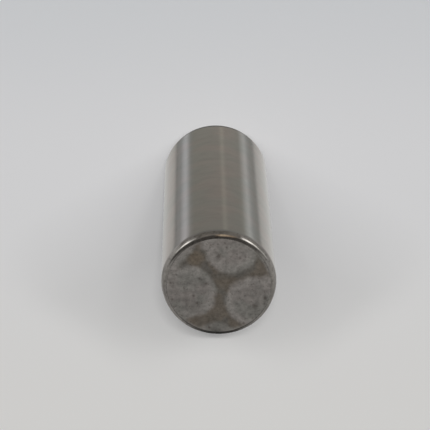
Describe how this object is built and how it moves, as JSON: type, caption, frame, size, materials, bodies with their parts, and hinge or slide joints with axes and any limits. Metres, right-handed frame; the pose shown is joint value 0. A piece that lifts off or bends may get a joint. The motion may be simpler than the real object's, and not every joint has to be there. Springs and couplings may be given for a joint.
{
  "type": "crank pin",
  "caption": "Solid ground steel crank pin: a plain cylinder with a shallow lead-in cone, a polished round edge and a flat face at each end.",
  "frame": {"origin": "centre of the lower end face", "axes": "+Z along the pin's axis, from the lower end face to the upper one"},
  "size_m": [0.02, 0.02, 0.05],
  "materials": {
    "ground_steel": "ground barrel, polished round edges, matte end faces"
  },
  "bodies": {
    "root": {"crank_pin": "ground_steel"}
  },
  "joints": []
}
